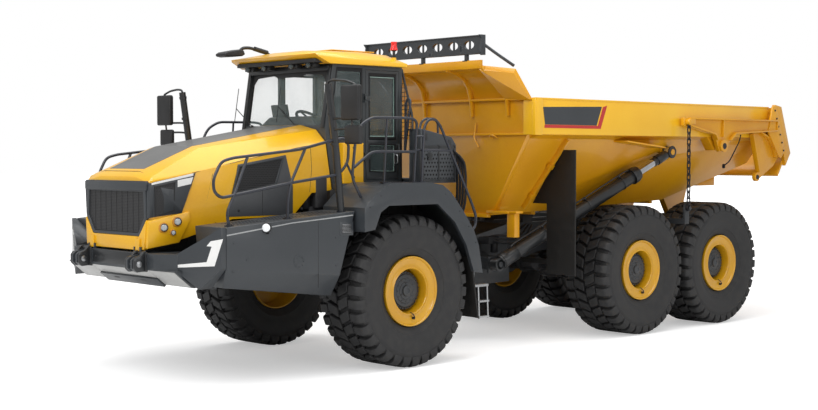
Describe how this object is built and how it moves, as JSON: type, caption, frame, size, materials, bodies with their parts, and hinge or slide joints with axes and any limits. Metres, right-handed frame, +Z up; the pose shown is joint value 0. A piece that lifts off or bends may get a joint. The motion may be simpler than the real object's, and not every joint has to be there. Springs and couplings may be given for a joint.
{
  "type": "articulated dump truck",
  "caption": "Articulated off-road dump truck with a steering hinge behind the cab, a tipping load bed with a chained tailgate, a tilting hood and a cab door.",
  "frame": {"origin": "on the ground under the middle of the whole machine", "axes": "+X forward, +Y to the left of the driver, +Z up"},
  "size_m": [11.48, 4.15, 4.15],
  "materials": {
    "yellow_paint": "gloss",
    "dark_grey_paint": "satin",
    "engine_iron": "matte",
    "tinted_glass": "gloss",
    "trim_plastic": "matte",
    "seat_fabric": "matte",
    "rod_chrome": "polished",
    "chain_steel": "matte",
    "tyre_rubber": "matte",
    "flap_rubber": "matte",
    "bare_steel": "satin",
    "beacon_red": "gloss",
    "lamp_cover": "gloss"
  },
  "bodies": {
    "front_unit": {"front_frame": "dark_grey_paint", "front_axle": "dark_grey_paint", "engine_block": "engine_iron", "bumper": "dark_grey_paint", "side_boxes": "dark_grey_paint", "fender_deck": "dark_grey_paint", "deck_rail_left": "dark_grey_paint", "deck_rail_right": "dark_grey_paint", "cab_shell": "dark_grey_paint", "cab_roof": "yellow_paint", "cab_glass": "tinted_glass", "operator_seat": "seat_fabric", "dashboard": "trim_plastic", "cooler_boxes": "dark_grey_paint", "front_mud_flap_left": "flap_rubber", "front_mud_flap_right": "flap_rubber", "step_ladder": "bare_steel", "beacon": "beacon_red", "roof_mirror": "trim_plastic", "side_cabinet": "yellow_paint"},
    "hood": {"hood_cover": "yellow_paint", "hood_grille": "trim_plastic", "headlamp_left": "lamp_cover", "headlamp_right": "lamp_cover"},
    "cab_door": {"door_panel": "dark_grey_paint", "door_glass": "tinted_glass"},
    "hitch_casting": {"hitch": "dark_grey_paint"},
    "rear_unit": {"rear_frame": "dark_grey_paint", "rear_axles": "dark_grey_paint", "rear_mud_flap_left": "flap_rubber", "rear_mud_flap_right": "flap_rubber"},
    "dump_bed": {"dump_body": "yellow_paint", "light_bar": "dark_grey_paint"},
    "tailgate_arms": {"tailgate": "yellow_paint"},
    "hoist_tube_left": {"hoist_barrel_left": "dark_grey_paint"},
    "hoist_piston_left": {"hoist_rod_left": "rod_chrome"},
    "steer_tube_left": {"steer_barrel_left": "dark_grey_paint"},
    "steer_piston_left": {"steer_rod_left": "rod_chrome"},
    "gate_chain_left": {"chain_left": "chain_steel"},
    "hoist_tube_right": {"hoist_barrel_right": "dark_grey_paint"},
    "hoist_piston_right": {"hoist_rod_right": "rod_chrome"},
    "steer_tube_right": {"steer_barrel_right": "dark_grey_paint"},
    "steer_piston_right": {"steer_rod_right": "rod_chrome"},
    "gate_chain_right": {"chain_right": "chain_steel"},
    "front_left_wheel": {"front_left_tyre": "tyre_rubber", "front_left_rim": "yellow_paint"},
    "front_right_wheel": {"front_right_tyre": "tyre_rubber", "front_right_rim": "yellow_paint"},
    "mid_left_wheel": {"mid_left_tyre": "tyre_rubber", "mid_left_rim": "yellow_paint"},
    "mid_right_wheel": {"mid_right_tyre": "tyre_rubber", "mid_right_rim": "yellow_paint"},
    "rear_left_wheel": {"rear_left_tyre": "tyre_rubber", "rear_left_rim": "yellow_paint"},
    "rear_right_wheel": {"rear_right_tyre": "tyre_rubber", "rear_right_rim": "yellow_paint"}
  },
  "joints": [
    {"name": "steering_hinge", "type": "hinge", "parent": "front_unit", "child": "hitch_casting", "pos_m": [1.1, 0, 1.04], "axis": [0, 0, 1], "range_deg": [-45, 45]},
    {"name": "hitch_roll", "type": "hinge", "parent": "hitch_casting", "child": "rear_unit", "pos_m": [0.2, 0, 1.04], "axis": [1, 0, 0], "range_deg": [-12, 12]},
    {"name": "bed_tip", "type": "hinge", "parent": "rear_unit", "child": "dump_bed", "pos_m": [-4.35, 0, 1.56], "axis": [0, -1, 0], "range_deg": [0, 70]},
    {"name": "hood_tilt", "type": "hinge", "parent": "front_unit", "child": "hood", "pos_m": [5.55, 0, 1.525], "axis": [0, 1, 0], "range_deg": [0, 62]},
    {"name": "door_swing", "type": "hinge", "parent": "front_unit", "child": "cab_door", "pos_m": [2.515, 0.872, 2.9], "axis": [0, 0, -1], "range_deg": [0, 80]},
    {"name": "front_left_spin", "type": "hinge", "parent": "front_unit", "child": "front_left_wheel", "pos_m": [2.45, 1.32, 0.925], "axis": [0, 1, 0], "continuous": true},
    {"name": "front_right_spin", "type": "hinge", "parent": "front_unit", "child": "front_right_wheel", "pos_m": [2.45, -1.32, 0.925], "axis": [0, 1, 0], "continuous": true},
    {"name": "mid_left_spin", "type": "hinge", "parent": "rear_unit", "child": "mid_left_wheel", "pos_m": [-2.05, 1.32, 0.925], "axis": [0, 1, 0], "continuous": true},
    {"name": "mid_right_spin", "type": "hinge", "parent": "rear_unit", "child": "mid_right_wheel", "pos_m": [-2.05, -1.32, 0.925], "axis": [0, 1, 0], "continuous": true},
    {"name": "rear_left_spin", "type": "hinge", "parent": "rear_unit", "child": "rear_left_wheel", "pos_m": [-3.98, 1.32, 0.925], "axis": [0, 1, 0], "continuous": true},
    {"name": "rear_right_spin", "type": "hinge", "parent": "rear_unit", "child": "rear_right_wheel", "pos_m": [-3.98, -1.32, 0.925], "axis": [0, 1, 0], "continuous": true},
    {"name": "gate_open", "type": "hinge", "parent": "dump_bed", "child": "tailgate_arms", "pos_m": [-3.85, 0, 2.705], "axis": [0, 1, 0], "range_deg": [0, 102]},
    {"name": "hoist_base_left", "type": "hinge", "parent": "rear_unit", "child": "hoist_tube_left", "pos_m": [0.13, 0.85, 1.08], "axis": [0, -0.5215, 0.8533], "range_deg": [0, 4.5]},
    {"name": "hoist_slide_left", "type": "slide", "parent": "hoist_tube_left", "child": "hoist_piston_left", "axis": [-0.8814, 0.1708, 0.4404], "range_m": [0, 2.05]},
    {"name": "steer_base_left", "type": "hinge", "parent": "front_unit", "child": "steer_tube_left", "pos_m": [1.85, 0.42, 1.04], "axis": [0, 0, 1], "range_deg": [-23, 23]},
    {"name": "steer_slide_left", "type": "slide", "parent": "steer_tube_left", "child": "steer_piston_left", "axis": [-1, 0, 0], "range_m": [-0.33, 0.33]},
    {"name": "chain_swing_left", "type": "hinge", "parent": "rear_unit", "child": "gate_chain_left", "pos_m": [-2.95, 1.785, 1.79], "axis": [0, -1, 0], "range_deg": [0, 74]},
    {"name": "hoist_base_right", "type": "hinge", "parent": "rear_unit", "child": "hoist_tube_right", "pos_m": [0.13, -0.85, 1.08], "axis": [0, -0.5215, -0.8533], "range_deg": [0, 4.5]},
    {"name": "hoist_slide_right", "type": "slide", "parent": "hoist_tube_right", "child": "hoist_piston_right", "axis": [-0.8814, -0.1708, 0.4404], "range_m": [0, 2.05]},
    {"name": "steer_base_right", "type": "hinge", "parent": "front_unit", "child": "steer_tube_right", "pos_m": [1.85, -0.42, 1.04], "axis": [0, 0, 1], "range_deg": [-23, 23]},
    {"name": "steer_slide_right", "type": "slide", "parent": "steer_tube_right", "child": "steer_piston_right", "axis": [-1, 0, 0], "range_m": [-0.33, 0.33]},
    {"name": "chain_swing_right", "type": "hinge", "parent": "rear_unit", "child": "gate_chain_right", "pos_m": [-2.95, -1.785, 1.79], "axis": [0, -1, 0], "range_deg": [0, 74]}
  ],
  "couplings": [
    {"joint": "gate_open", "follows": "bed_tip", "ratio": 1.45},
    {"joint": "hoist_base_left", "follows": "bed_tip", "ratio": 0.06027},
    {"joint": "hoist_slide_left", "follows": "bed_tip", "m_per_rad": 1.66},
    {"joint": "chain_swing_left", "follows": "bed_tip", "ratio": 1.05},
    {"joint": "steer_base_left", "follows": "steering_hinge", "ratio": 0.5},
    {"joint": "steer_slide_left", "follows": "steering_hinge", "m_per_rad": 0.409},
    {"joint": "hoist_base_right", "follows": "bed_tip", "ratio": 0.06027},
    {"joint": "hoist_slide_right", "follows": "bed_tip", "m_per_rad": 1.66},
    {"joint": "chain_swing_right", "follows": "bed_tip", "ratio": 1.05},
    {"joint": "steer_base_right", "follows": "steering_hinge", "ratio": 0.5},
    {"joint": "steer_slide_right", "follows": "steering_hinge", "m_per_rad": -0.409}
  ]
}
